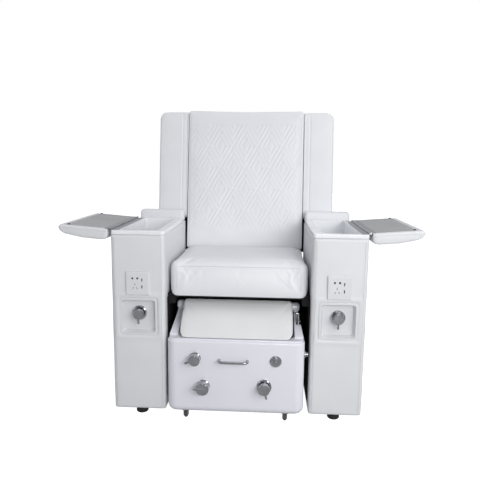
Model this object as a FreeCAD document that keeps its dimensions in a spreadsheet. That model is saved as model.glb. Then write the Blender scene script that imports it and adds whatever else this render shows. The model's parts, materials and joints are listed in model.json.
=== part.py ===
"""Pedicure spa chair: upholstered arms with flip lids, seat, reclining back and a pull-out foot tub.

Millimetres, +X to the sitter's left as seen from the front, +Y to the rear, +Z up.
The origin is at the bottom centre of the whole chair. Depths are measured from arm_front,
the front face of the arm boxes, and heights from the floor.
"""
import FreeCAD, Part
import math
import os
import re
import Sketcher

Vector = FreeCAD.Vector
X_AXIS, Y_AXIS, Z_AXIS = Vector(1, 0, 0), Vector(0, 1, 0), Vector(0, 0, 1)
SIDES = (("left", -1), ("right", 1))

# alias, millimetres or degrees, meaning
SIZES = (
    ("arm_front", -285.9, "front face of the arm boxes"),
    ("arm_gap", 530, "clear width between the arms"),
    ("arm_width", 195, "width of one arm box"),
    ("arm_depth", 488, "front to rear of one arm box"),
    ("arm_top", 686, "top of the upholstered box"),
    ("foot_height", 24, "floor to underside of the arm box"),
    ("foot_radius", 22.5, "rubber foot"),
    ("arm_wall", 15, "padded board of the arm box"),
    ("arm_round", 11, "rounding of the arm's upright edges"),
    ("rim_height", 14, "plastic bin rim above the arm box"),
    ("bin_length", 436, "front to rear of the bin rim"),
    ("bin_margin", 12, "rim in front of and behind the cavity"),
    ("bin_side", 30, "rim beside the cavity"),
    ("bin_depth", 88, "cavity below the rim's top"),
    ("bin_wall", 3, "bin wall"),
    ("pad_height", 50, "rear arm pad, base to top"),
    ("hinge_offset", 5.2, "lid hinge axis outside the arm's side"),
    ("hinge_up", 2, "lid hinge axis above the rim"),
    ("knuckle_radius", 4.5, "hinge barrel"),
    ("hinge_pin_radius", 1.5, "hinge pin"),
    ("leaf_thick", 1.5, "hinge leaf"),
    ("leaf_width", 26, "fixed hinge leaf"),
    ("lid_front", 8, "lid's front edge behind the arm's front"),
    ("lid_length", 410, "lid, front to rear"),
    ("lid_width", 190, "lid, hinge axis to outer end"),
    ("lid_face", 1.7, "lid's inner face above the hinge axis"),
    ("lid_tilt", 4.5, "open lid, outer end up, degrees"),
    ("tray_thick", 3, "grey inlay"),
    ("slot_length", 74, "device slot in the inlay"),
    ("slot_width", 12, "device slot in the inlay"),
    ("bumper_radius", 5, "lid bumper"),
    ("socket_up", 508, "centre height of the power socket"),
    ("socket_side", 86, "square socket plate"),
    ("socket_thick", 7, "socket plate"),
    ("dish_up", 383, "centre height of the recessed dish"),
    ("dish_flange", 140, "dish flange, square"),
    ("dish_mouth", 126, "dish opening, square"),
    ("dish_floor", 109, "dish floor, square"),
    ("dish_depth", 18, "dish floor behind the arm's front"),
    ("dish_wall", 2.5, "dish wall"),
    ("seat_front", 43, "cushion's front behind the arm's front"),
    ("seat_back", 447, "cushion's rear behind the arm's front"),
    ("seat_width", 524, "seat cushion"),
    ("seat_low", 459.8, "underside of the cushion"),
    ("seat_high", 583, "top of the cushion"),
    ("deck_thick", 12, "plywood under the cushion"),
    ("rail", 25, "square steel tube"),
    ("lining", 4, "black board beside the tub"),
    ("lining_low", 58, "lower edge of the black boards"),
    ("pivot_back", 475, "recline axis behind the arm's front"),
    ("pivot_up", 540, "recline axis above the floor"),
    ("back_tilt", 9.05, "backrest from upright, degrees"),
    ("back_low", 19.5, "lower end of the backrest above the axis"),
    ("wing_low", 161, "lower end of the wings above the axis"),
    ("wing_high", 630, "top of the wings above the axis"),
    ("back_high", 633.5, "top of the centre pad above the axis"),
    ("pad_half", 258.5, "half the centre pad's width"),
    ("lobe_low", 4, "lower end of the centre pad's tongue above the axis"),
    ("lobe_half", 232, "half the width of the tongue between the recline brackets"),
    ("wing_half", 390.5, "half the width over the wings"),
    ("pad_face", -23, "centre pad's face from the axis plane"),
    ("wing_face", -11, "wings' face from the axis plane"),
    ("frame_plane", 20, "front of the back frame"),
    ("shell_plane", 35, "front of the rear shell"),
    ("shell_thick", 40, "rear shell"),
    ("pivot_pin_radius", 7, "recline pin"),
    ("tub_shift", -4.5, "tub's centre line from the chair's"),
    ("tub_width", 500, "foot tub"),
    ("tub_front", -34, "tub's front face from the arm's front"),
    ("tub_depth", 364, "foot tub, front to rear"),
    ("tub_low", 32, "underside of the tub"),
    ("tub_high", 308, "top of the tub casing"),
    ("tub_wall", 9, "tub casing"),
    ("hood_width", 490, "moulded rim on the tub"),
    ("hood_thick", 6, "moulded rim on the tub"),
    ("bowl_wall", 5, "foot bowl"),
    ("bar_back", 128, "footrest bar behind the arm's front"),
    ("bar_up", 397, "footrest bar above the floor"),
    ("bar_radius", 18, "footrest bar"),
    ("bar_half", 236, "half the footrest bar's length"),
    ("rest_half", 208, "half the footrest pad's width"),
    ("wheel_radius", 14, "tub wheel"),
    ("wheel_thick", 12, "tub wheel"),
    ("wheel_half", 184, "half the tub's wheel spacing"),
    ("axle_radius", 3, "wheel axle"),
    ("ring_radius", 27, "chrome ring behind a large knob"),
    ("stem_radius", 4, "valve stem"),
    ("running", 0.05, "clearance round a shaft that turns"),
)
SIZE_NAMES = {alias for alias, value, meaning in SIZES}

doc = FreeCAD.newDocument("pedicure_spa_chair")
sheet = doc.addObject("Spreadsheet::Sheet", "Sizes")
for row, (alias, value, meaning) in enumerate(SIZES, start=1):
    sheet.set("A%d" % row, meaning)
    sheet.set("B%d" % row, str(value))
    sheet.setAlias("B%d" % row, alias)
doc.recompute()

finished = []


def size(alias):
    """A driving dimension as a plain number."""
    return float(getattr(sheet, alias))


def bind(formula):
    """Points every driving dimension named in a formula at its cell."""
    return re.sub(r"[a-z]+(_[a-z]+)*", lambda word: named_cell(word.group(0)), str(formula))


def named_cell(word):
    return "Sizes." + word if word in SIZE_NAMES else word


def drive(obj, formulas):
    for path, formula in formulas.items():
        obj.setExpression(path, bind(formula))
    return obj


def put(obj, across=0, back=0, up=0, axis=None, degrees=0):
    """Places an object; the three formulas give its origin, and axis and degrees its turn."""
    if axis is not None:
        obj.Placement = FreeCAD.Placement(Vector(0, 0, 0), FreeCAD.Rotation(axis, degrees))
    return drive(obj, {"Placement.Base.x": across, "Placement.Base.y": back, "Placement.Base.z": up})


def finish(obj, name):
    """Marks an object as a piece of the chair; its label names its file."""
    obj.Label = name
    finished.append(obj)
    return obj


# ---------------------------------------------------------------- shapes

def box(name, across, back, up, length, width, height):
    """Box between a low corner and the three lengths, all formulas."""
    shape = doc.addObject("Part::Box", name)
    drive(shape, {"Length": length, "Width": width, "Height": height})
    return put(shape, across, back, up)


def rod(name, radius, length, across, back, up, axis=None, degrees=0):
    """Cylinder whose base is at the given place, turned from +Z."""
    shape = doc.addObject("Part::Cylinder", name)
    drive(shape, {"Radius": radius, "Height": length})
    return put(shape, across, back, up, axis, degrees)


def cut(name, base, tool):
    shape = doc.addObject("Part::Cut", name)
    shape.Base, shape.Tool = base, tool
    return shape


def fuse(name, pieces):
    shape = doc.addObject("Part::MultiFuse", name)
    shape.Shapes = pieces
    return shape


def group(name, pieces):
    """Several separate solids that are one node."""
    shape = doc.addObject("Part::Compound", name)
    shape.Links = pieces
    return shape


def outline(body, role, corners):
    """Closed sketch of straight lines; each corner is a pair of formulas from the origin."""
    sketch = body.newObject("Sketcher::SketchObject", body.Name + "_outline")
    plane = [part for part in body.Origin.OriginFeatures if part.Role == role][0]
    sketch.AttachmentSupport = [(plane, "")]
    sketch.MapMode = "FlatFace"
    count = len(corners)
    spread = [Vector(90 * math.cos(2 * math.pi * i / count), 90 * math.sin(2 * math.pi * i / count), 0)
              for i in range(count)]
    for index in range(count):
        sketch.addGeometry(Part.LineSegment(spread[index], spread[(index + 1) % count]), False)
    for index in range(count):
        sketch.addConstraint(Sketcher.Constraint("Coincident", index, 2, (index + 1) % count, 1))
    for index, (first, second) in enumerate(corners):
        for kind, formula in (("DistanceX", first), ("DistanceY", second)):
            number = sketch.addConstraint(Sketcher.Constraint(kind, -1, 1, index, 1, 10.0))
            sketch.setExpression("Constraints[%d]" % number, bind(formula))
    return sketch


def padded(name, role, corners, length, both_ways=True):
    """Body extruded from an outline, centred on its plane or to one side of it."""
    body = doc.addObject("PartDesign::Body", name)
    pad = body.newObject("PartDesign::Pad", name + "_pad")
    pad.Profile = outline(body, role, corners)
    pad.SideType = "Symmetric" if both_ways else "One side"
    pad.setExpression("Length", bind(length))
    doc.recompute()
    return body


def turned(name, profile):
    """Body of revolution about its own Z axis; the profile is (radius, height) pairs."""
    body = doc.addObject("PartDesign::Body", name)
    spin = body.newObject("PartDesign::Revolution", name + "_spin")
    sketch = outline(body, "XZ_Plane", profile)
    spin.Profile = sketch
    spin.ReferenceAxis = (sketch, ["V_Axis"])
    spin.Angle = 360
    return body


def soften(body, radius, wanted):
    """Rounds the edges of a body's last feature that the wanted test picks."""
    doc.recompute()
    base = body.Tip
    names = ["Edge%d" % (i + 1) for i, edge in enumerate(base.Shape.Edges) if wanted(edge, base.Shape.BoundBox)]
    fillet = body.newObject("PartDesign::Fillet", "%s_round_%d" % (body.Name, len(body.Group)))
    fillet.Base = (base, names)
    fillet.setExpression("Radius", bind(radius))
    doc.recompute()
    return body


def runs_along(edge, axis):
    """True for a straight edge along an axis."""
    if edge.Curve.TypeId != "Part::GeomLine":
        return False
    return abs(abs(edge.Curve.Direction.dot(axis)) - 1) < 1e-6


def upright(edge, whole):
    return runs_along(edge, Z_AXIS)


def top_ring(edge, whole):
    return edge.BoundBox.ZMin > whole.ZMax - 0.01


def bottom_ring(edge, whole):
    return edge.BoundBox.ZMax < whole.ZMin + 0.01


def front_upright(edge, whole):
    return runs_along(edge, Z_AXIS) and edge.BoundBox.YMax < whole.YMin + 0.01


def front_ring(edge, whole):
    return edge.BoundBox.YMax < whole.YMin + 0.01


def end_ring(edge, whole):
    """The outline of both Y ends."""
    return edge.BoundBox.YMax < whole.YMin + 0.01 or edge.BoundBox.YMin > whole.YMax - 0.01


def side_ring(edge, whole):
    """The outline of both X ends."""
    return edge.BoundBox.XMax < whole.XMin + 0.01 or edge.BoundBox.XMin > whole.XMax - 0.01


def slab(name, length, width, height):
    """Box body centred on its own Z axis, standing on z = 0."""
    half_length, half_width = "(%s)/2" % length, "(%s)/2" % width
    corners = (("-" + half_length, "-" + half_width), (half_length, "-" + half_width),
               (half_length, half_width), ("-" + half_length, half_width))
    return padded(name, "XY_Plane", corners, height, both_ways=False)


# ---------------------------------------------------------------- arms

ARM_X = "(arm_gap + arm_width)/2"


def arm_shell(side, sign):
    """Hollow upholstered box, open above for the bin and pierced in front for the dish."""
    name = "arm_shell_" + side
    body = slab(name + "_box", "arm_width", "arm_depth", "arm_top - foot_height")
    soften(body, "arm_round", upright)
    soften(body, 5, lambda edge, whole: top_ring(edge, whole) or bottom_ring(edge, whole))
    put(body, "%d*%s" % (sign, ARM_X), "arm_front + arm_depth/2", "foot_height")
    inside = box(name + "_inside", "%d*%s - arm_width/2 + arm_wall" % (sign, ARM_X), "arm_front + arm_wall",
                 "foot_height + arm_wall", "arm_width - 2*arm_wall", "arm_depth - 2*arm_wall", "arm_top")
    window = box(name + "_window", "%d*%s - (dish_mouth + 6)/2" % (sign, ARM_X), "arm_front - 5",
                 "dish_up - (dish_mouth + 6)/2", "dish_mouth + 6", "arm_wall + 10", "dish_mouth + 6")
    finish(cut(name, body, fuse(name + "_hollow", [inside, window])), name)


def arm_bin(side, sign):
    """Plastic storage bin hanging in the arm by its rim, with a rebate for the hinge leaf."""
    name = "arm_bin_" + side
    rim = slab(name + "_rim", "arm_width", "bin_length", "rim_height")
    soften(rim, "arm_round", upright)
    soften(rim, 3.5, top_ring)
    put(rim, "%d*%s" % (sign, ARM_X), "arm_front + bin_length/2", "arm_top")
    tub = slab(name + "_tub", "arm_width - 2*bin_side + 2*bin_wall", "bin_length - 2*bin_margin - 4",
               "bin_depth - rim_height + bin_wall + 1")
    put(tub, "%d*%s" % (sign, ARM_X), "arm_front + bin_length/2 + 3",
        "arm_top + rim_height - bin_depth - bin_wall")
    cavity = slab(name + "_cavity", "arm_width - 2*bin_side", "bin_length - 2*bin_margin - 10", "bin_depth + 1")
    soften(cavity, 9, upright)
    soften(cavity, 6, bottom_ring)
    put(cavity, "%d*%s" % (sign, ARM_X), "arm_front + bin_length/2 + 3", "arm_top + rim_height - bin_depth")
    edge_x = "%d*(arm_gap/2 + arm_width - leaf_width/2) - leaf_width/2 - 0.5 + %d*0.5" % (sign, sign)
    rebate = box(name + "_rebate", edge_x, "arm_front + lid_front - 2", "arm_top + rim_height - 2",
                 "leaf_width + 1", "lid_length + 4", 8)
    finish(cut(name, fuse(name + "_whole", [rim, tub]), fuse(name + "_space", [cavity, rebate])), name)


def arm_rear_pad(side, sign):
    """Small padded block behind the bin."""
    name = "arm_rear_pad_" + side
    body = slab(name, "arm_width", "arm_depth - bin_length - 5.5", "pad_height")
    soften(body, "arm_round", upright)
    soften(body, 12, top_ring)
    put(body, "%d*%s" % (sign, ARM_X), "arm_front + (arm_depth + bin_length)/2 - 2", "arm_top + 0.1")
    finish(body, name)


def socket_plate(side, sign):
    """Square plate with a two-pin and a three-pin outlet on the left and two charging slots."""
    name = "socket_plate_" + side
    body = padded(name + "_body", "XZ_Plane", square("socket_side"), "socket_thick")
    soften(body, 3, front_ring)
    holes = [rod("%s_round_%d" % (name, i), 4, 20, -9.5 + dx, 10, 19, X_AXIS, 90)
             for i, dx in enumerate((-9, 9))]
    pins = ((-9.5, -3, 0), (-16.5, -16.5, 30), (-2.5, -16.5, -30))
    for index, (dx, dz, lean) in enumerate(pins):
        pin = padded("%s_pin_%d" % (name, index), "XZ_Plane", oblong(1.1, 3.4), 20)
        put(pin, dx, 0, dz, Y_AXIS, lean)
        holes.append(pin)
    for index, dz in enumerate((13.5, -12)):
        slot = padded("%s_usb_%d" % (name, index), "XZ_Plane", oblong(1.95, 6), 20)
        holes.append(put(slot, 16, 0, dz))
    recess = padded(name + "_recess", "XZ_Plane", oblong(31, 31), 4)
    holes.append(put(recess, 0, "socket_thick/2", 0))
    plate = cut(name, body, fuse(name + "_holes", holes))
    put(plate, "%d*%s" % (sign, ARM_X), "arm_front - socket_thick/2", "socket_up")
    finish(plate, name)


def square(width):
    half = "(%s)/2" % width
    return oblong(half, half)


def oblong(half_across, half_up):
    """Rectangle about the origin from two half sizes."""
    return (("-(%s)" % half_across, "-(%s)" % half_up), ("(%s)" % half_across, "-(%s)" % half_up),
            ("(%s)" % half_across, "(%s)" % half_up), ("-(%s)" % half_across, "(%s)" % half_up))


def frustum(name, mouth, floor, start, depth, sign):
    """Square drafted block from the arm's front face backwards."""
    wedge = doc.addObject("Part::Wedge", name)
    drive(wedge, {"Xmin": "-(%s)/2" % mouth, "Xmax": "(%s)/2" % mouth, "Zmin": "-(%s)/2" % mouth,
                  "Zmax": "(%s)/2" % mouth, "X2min": "-(%s)/2" % floor, "X2max": "(%s)/2" % floor,
                  "Z2min": "-(%s)/2" % floor, "Z2max": "(%s)/2" % floor, "Ymin": 0, "Ymax": depth})
    doc.recompute()
    rounded = doc.addObject("Part::Fillet", name + "_rounded")
    rounded.Base = wedge
    slanted = [i + 1 for i, edge in enumerate(wedge.Shape.Edges) if edge.BoundBox.YLength > 1]
    rounded.Edges = [(number, 11.0, 11.0) for number in slanted]
    return put(rounded, "%d*%s" % (sign, ARM_X), start, "dish_up")


def control_dish(side, sign):
    """Drafted plastic recess with a flange on the arm's front and a hole for the valve."""
    name = "control_dish_" + side
    flange = padded(name + "_flange", "XZ_Plane", square("dish_flange"), 1.6)
    soften(flange, 14, lambda edge, whole: runs_along(edge, Y_AXIS))
    soften(flange, 1.2, front_ring)
    put(flange, "%d*%s" % (sign, ARM_X), "arm_front - 0.8", "dish_up")
    outer = frustum(name + "_outer", "dish_mouth + 2*dish_wall", "dish_floor + 2*dish_wall", "arm_front - 0.5",
                    "dish_depth + dish_wall + 0.5", sign)
    inner = frustum(name + "_inner", "dish_mouth", "dish_floor", "arm_front - 4", "dish_depth + 4", sign)
    hole = rod(name + "_hole", "stem_radius + 10.2", 30, "%d*%s" % (sign, ARM_X), "arm_front + dish_depth + 15",
               "dish_up + 10", X_AXIS, 90)
    finish(cut(name, fuse(name + "_solid", [flange, outer]), fuse(name + "_space", [inner, hole])), name)


# profiles of the chrome fittings: (radius, distance in front of the panel)
def valve_profile(ring, neck, depth):
    return ((0, -depth), ("stem_radius + 10", -depth), ("stem_radius + 10", 0), (ring, 0), (ring, 3.5),
            ("%s - 3.5" % ring, 6.5), (neck, 6.5), (neck, 12), ("stem_radius", 12), ("stem_radius", 22),
            (0, 22))


def knob_profile(cap, reach):
    bore = "stem_radius + running"
    return ((bore, 13), ("%s - 1.5" % cap, 13), (cap, 14.5), (cap, reach - 3), ("%s - 3" % cap, reach),
            (0, reach), (0, 23), (bore, 23))


def knob(name, cap, reach, pin_length, pin_degrees, across, back, up, over_face=False):
    """Round cap on a valve stem with one radial lever pin, beside the cap or from the middle of its face.

    0 degrees points the pin down.
    """
    body = turned(name + "_cap", knob_profile(cap, reach))
    lever = turned(name + "_lever", ((0, 0), (3.9, 0), (3.9, "%s - 1.5" % pin_length),
                                     (2.4, pin_length), (0, pin_length)))
    angle = math.radians(pin_degrees)
    away = Vector(-math.sin(angle), -math.cos(angle), 0)
    lever.Placement = FreeCAD.Placement(Vector(0, 0, 0), FreeCAD.Rotation(Z_AXIS, away))
    start, level = ("0", reach - 1.5) if over_face else ("(%s - 4)" % cap, reach - 8)
    drive(lever, {"Placement.Base.x": "%s*%.6f" % (start, away.x),
                  "Placement.Base.y": "%s*%.6f" % (start, away.y), "Placement.Base.z": level})
    whole = fuse(name, [body, lever])
    finish(put(whole, across, back, up, X_AXIS, 90), name)


def arm_controls(side, sign):
    place = ("%d*%s" % (sign, ARM_X), "arm_front + dish_depth", "dish_up + 10")
    valve = turned("arm_valve_" + side, valve_profile("ring_radius", "15", 42))
    finish(put(valve, *place, X_AXIS, 90), "arm_valve_" + side)
    knob("arm_knob_" + side, "20", 29, 22, 0, *place)


def arm_feet():
    feet = []
    for side, sign in SIDES:
        for end, back in (("front", "12 + foot_radius"), ("rear", "arm_depth - 12 - foot_radius")):
            foot = turned("foot_%s_%s" % (side, end), ((0, 0), ("foot_radius - 2", 0), ("foot_radius", 3),
                                                      ("foot_radius", "foot_height"), (0, "foot_height")))
            feet.append(put(foot, "%d*%s" % (sign, ARM_X), "arm_front + " + back, 0))
    finish(group("arm_feet", feet), "arm_feet")


# ---------------------------------------------------------------- lids

KNUCKLES = 5
HINGE_X = "(arm_gap/2 + arm_width + hinge_offset)"
HINGE_Z = "arm_top + rim_height + hinge_up"
KNUCKLE_PITCH = "(lid_length - 10)/%d" % KNUCKLES


def knuckle_start(index):
    return "lid_front + 5 + %d*%s" % (index, KNUCKLE_PITCH)


def barrel(name, index, radius):
    """One knuckle on the hinge axis, in the lid's own frame."""
    return rod("%s_%d" % (name, index), radius, KNUCKLE_PITCH + " - 0.6", 0,
               knuckle_start(index) + " + " + KNUCKLE_PITCH + " - 0.3", 0, X_AXIS, 90)


def lid_place(obj, sign, tilted=True):
    turn = size("lid_tilt") if tilted else 0
    return put(obj, "%d*%s" % (sign, HINGE_X), "arm_front", HINGE_Z, Y_AXIS, -sign * turn)


def side_box(name, sign, inner, outer, back, width, low, height):
    """Box from inner to outer along the lid, mirrored by sign."""
    start = inner if sign > 0 else "-(%s)" % outer
    return box(name, start, back, low, "(%s) - (%s)" % (outer, inner), width, height)


def fixed_leaf(side, sign):
    """Hinge leaf let into the bin's rim, its odd knuckles and the pin through them all."""
    name = "hinge_leaf_" + side
    drop = "-hinge_up - leaf_thick - 0.2"
    plate = side_box(name + "_plate", -sign, "hinge_offset", "hinge_offset + leaf_width", "lid_front + 5",
                     "lid_length - 10", drop, "leaf_thick")
    pieces = [plate]
    for index in range(0, KNUCKLES, 2):
        pieces.append(barrel(name + "_knuckle", index, "knuckle_radius"))
        pieces.append(side_box("%s_tab_%d" % (name, index), -sign, "0.5", "hinge_offset + 1",
                               knuckle_start(index) + " + 0.3", KNUCKLE_PITCH + " - 0.6", drop, "leaf_thick"))
    bore = rod(name + "_bore", "hinge_pin_radius", "lid_length", 0, "lid_front + lid_length", 0, X_AXIS, 90)
    pin = rod(name + "_pin", "hinge_pin_radius", "lid_length - 10", 0, "lid_front + lid_length - 5", 0,
              X_AXIS, 90)
    leaf = group(name, [cut(name + "_leaf", fuse(name + "_blank", pieces), bore), pin])
    finish(lid_place(leaf, sign, tilted=False), name)


def moving_leaf(side, sign):
    """Hinge leaf let into the lid, with the even knuckles."""
    name = "lid_leaf_" + side
    low = "lid_face - leaf_thick"
    pieces = [side_box(name + "_plate", sign, "hinge_offset", "hinge_offset + 12", "lid_front + 5",
                       "lid_length - 10", low, "leaf_thick")]
    for index in range(1, KNUCKLES, 2):
        pieces.append(barrel(name + "_knuckle", index, "knuckle_radius"))
        pieces.append(side_box("%s_tab_%d" % (name, index), sign, "0.5", "hinge_offset + 1",
                               knuckle_start(index) + " + 0.3", KNUCKLE_PITCH + " - 0.6", low, "leaf_thick"))
    bore = rod(name + "_bore", "hinge_pin_radius + running", "lid_length", 0, "lid_front + lid_length", 0,
               X_AXIS, 90)
    finish(lid_place(cut(name, fuse(name + "_blank", pieces), bore), sign), name)


def obround(name, sign, centre, back, low, height):
    """Round-ended slot running outwards along the lid."""
    half = "(slot_length - slot_width)/2"
    middle = box(name + "_middle", "%d*%s - %s" % (sign, centre, half), "%s - slot_width/2" % back, low,
                 "slot_length - slot_width", "slot_width", height)
    ends = [rod("%s_end_%d" % (name, i), "slot_width/2", height, "%d*%s + %d*%s" % (sign, centre, way, half),
                back, low) for i, way in enumerate((-1, 1))]
    return fuse(name, [middle] + ends)


TRAY_INNER, TRAY_OUTER = "hinge_offset + 13", "lid_width - 28"
SLOT_CENTRE, SLOT_BACK = "97", "lid_front + lid_length - 36"


def lid(side, sign):
    """Padded lid with a crowned outer skin, its grey inlay, device slot and two bumpers."""
    name = "lid_pad_" + side
    skin = (("hinge_offset", "lid_face"), ("lid_width - 9", "lid_face"), ("lid_width - 2", -3),
            ("lid_width", -11), ("lid_width - 5", -22), ("lid_width - 26", -33), (100, -41), (24, -41),
            ("hinge_offset + 5", -37), ("hinge_offset", -28))
    corners = [("%d*(%s)" % (sign, along), level) for along, level in skin]
    body = padded(name + "_body", "XZ_Plane", corners, "lid_length")
    soften(body, 7, end_ring)
    put(body, 0, "lid_front + lid_length/2", 0)
    inlay_bed = side_box(name + "_bed", sign, TRAY_INNER, TRAY_OUTER, "lid_front + 10", "lid_length - 20",
                         "lid_face - tray_thick", 20)
    leaf_bed = side_box(name + "_leaf_bed", sign, "0", "hinge_offset + 12.5", "lid_front + 4",
                        "lid_length - 8", "lid_face - leaf_thick - 0.1", 20)
    groove = obround(name + "_groove", sign, SLOT_CENTRE, SLOT_BACK, -12, 20)
    finish(lid_place(cut(name, body, fuse(name + "_beds", [inlay_bed, leaf_bed, groove])), sign), name)

    name = "lid_tray_" + side
    sheet_body = side_box(name + "_sheet", sign, TRAY_INNER + " + 0.3", TRAY_OUTER + " - 0.3",
                          "lid_front + 10.3", "lid_length - 20.6", "lid_face - tray_thick", "tray_thick")
    slot = obround(name + "_slot", sign, SLOT_CENTRE, SLOT_BACK, -12, 20)
    finish(lid_place(cut(name, sheet_body, slot), sign), name)

    name = "lid_bumpers_" + side
    knobs = []
    for end, back in (("front", "lid_front + 14 + bumper_radius"),
                      ("rear", "lid_front + lid_length - 14 - bumper_radius")):
        bumper = turned("%s_%s" % (name, end), ((0, 0), ("bumper_radius", 0), ("bumper_radius", 1.6),
                                               ("bumper_radius - 1.5", 3), (0, 3)))
        knobs.append(put(bumper, "%d*(lid_width - 35)" % sign, back, "lid_face"))
    finish(lid_place(group(name, knobs), sign), name)


# ---------------------------------------------------------------- seat

def seat():
    """Steel rails between the arms, plywood deck, cushion and the black boards round the bay."""
    inner = "arm_gap/2 - lining"
    rails = []
    for side, sign in SIDES:
        start = "%d*(%s - rail/2) - rail/2" % (sign, inner)
        rails.append(box("rail_" + side, start, "arm_front + seat_front + 7",
                         "seat_low - deck_thick - rail - 0.3", "rail", 440, "rail"))
    for index, back in enumerate((210, 420)):
        rails.append(box("rail_cross_%d" % index, "-(%s)" % inner, "arm_front + %d" % back,
                         "seat_low - deck_thick - rail - 0.3", "2*(%s)" % inner, "rail", "rail"))
    finish(fuse("seat_frame", rails), "seat_frame")
    finish(box("seat_deck", "-seat_width/2", "arm_front + seat_front + 7", "seat_low - deck_thick - 0.2",
               "seat_width", "seat_back - seat_front - 7", "deck_thick"), "seat_deck")
    cushion = slab("seat_cushion", "seat_width", "seat_back - seat_front", "seat_high - seat_low")
    soften(cushion, 30, front_upright)
    soften(cushion, 26, top_ring)
    finish(put(cushion, 0, "arm_front + (seat_front + seat_back)/2", "seat_low"), "seat_cushion")
    sides = [box("bay_side_" + side, "%d*(arm_gap/2 - lining/2) - lining/2" % sign,
                 "arm_front + seat_front + 2", "lining_low", "lining", 405,
                 "seat_low - deck_thick - lining_low - 1") for side, sign in SIDES]
    finish(group("bay_sides", sides), "bay_sides")
    finish(box("bay_rear_panel", "-arm_gap/2 + 0.5", "arm_front + 452", "lining_low", "arm_gap - 1", 10,
               "seat_low - deck_thick - rail - lining_low - 1"), "bay_rear_panel")


def recline_brackets():
    """Two steel plates that rise behind the cushion, each with a welded pin for the back."""
    plates, pins = [], []
    for side, sign in SIDES:
        name = "recline_plate_" + side
        start = "%d*250 - 3" % sign
        strip = box(name + "_strip", start, "arm_front + pivot_back - 16", "seat_low - deck_thick - 0.3", 6, 32,
                    "pivot_up - seat_low + deck_thick + 0.3")
        disc = rod(name + "_disc", 16, 6, start, "arm_front + pivot_back", "pivot_up", Y_AXIS, 90)
        hole = rod(name + "_hole", "pivot_pin_radius", 30, "%d*250 - 15" % sign, "arm_front + pivot_back",
                   "pivot_up", Y_AXIS, 90)
        plates.append(cut(name, fuse(name + "_blank", [strip, disc]), hole))
        pins.append(rod("recline_pin_" + side, "pivot_pin_radius", 20, "%d*247 - 10" % sign,
                        "arm_front + pivot_back", "pivot_up", Y_AXIS, 90))
    finish(group("recline_brackets", plates), "recline_brackets")
    finish(group("recline_pins", pins), "recline_pins")


# ---------------------------------------------------------------- backrest, in its own leaning frame

def back_place(obj):
    """Stands a piece on the recline axis and leans it back."""
    return put(obj, 0, "arm_front + pivot_back", "pivot_up", X_AXIS, -size("back_tilt"))


def shift(obj, name, back, up, across=0):
    """Wraps a body in a one-piece group so that its inner place and the lean stay separate."""
    put(obj, across, back, up)
    return back_place(group(name, [obj]))


def high_corner(edge, whole):
    return runs_along(edge, Y_AXIS) and edge.BoundBox.ZMin > whole.Center.z


def backrest():
    """Quilted centre pad, two wings, steel frame and rear shell, all leaning together."""
    pad_corners = (("-lobe_half", "lobe_low"), ("lobe_half", "lobe_low"), ("lobe_half", "back_low"),
                   ("pad_half", "back_low"), ("pad_half", "back_high"), ("-pad_half", "back_high"),
                   ("-pad_half", "back_low"), ("-lobe_half", "back_low"))
    pad = padded("back_pad_body", "XZ_Plane", pad_corners, "frame_plane - pad_face - 0.2")
    soften(pad, 10, high_corner)
    soften(pad, 6, front_ring)
    finish(shift(pad, "back_pad", "(pad_face + frame_plane)/2", 0), "back_pad")
    for side, sign in SIDES:
        name = "back_wing_" + side
        wing = padded(name + "_body", "XZ_Plane",
                      oblong("(wing_half - pad_half - 0.5)/2", "(wing_high - wing_low)/2"),
                      "shell_plane - wing_face - 0.2")
        soften(wing, 32, lambda edge, whole: high_corner(edge, whole) and edge.BoundBox.Center.x * sign > 0)
        soften(wing, 10, lambda edge, whole: front_ring(edge, whole) and edge.BoundBox.Center.x * sign > -50)
        finish(shift(wing, name, "(wing_face + shell_plane)/2", "(wing_low + wing_high)/2",
                     "%d*(wing_half + pad_half + 0.5)/2" % sign), name)
    shell_corners = (("-pad_half", "back_low"), ("pad_half", "back_low"), ("pad_half", "wing_low"),
                     ("wing_half", "wing_low"), ("wing_half", "wing_high"), ("-wing_half", "wing_high"),
                     ("-wing_half", "wing_low"), ("-pad_half", "wing_low"))
    shell = padded("back_shell_body", "XZ_Plane", shell_corners, "shell_thick")
    soften(shell, 32, high_corner)
    soften(shell, 14, lambda edge, whole: edge.BoundBox.YMin > whole.YMax - 0.01)
    finish(shift(shell, "back_shell", "shell_plane + shell_thick/2", 0), "back_shell")
    cover = padded("back_rear_panel_body", "XZ_Plane",
                   oblong("pad_half - 6", "(wing_high - back_low)/2 - 50"), 6)
    soften(cover, 12, lambda edge, whole: runs_along(edge, Y_AXIS))
    finish(shift(cover, "back_rear_panel", "shell_plane + shell_thick + 3", "(back_low + wing_high)/2 - 10"),
           "back_rear_panel")
    back_frame()


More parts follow.
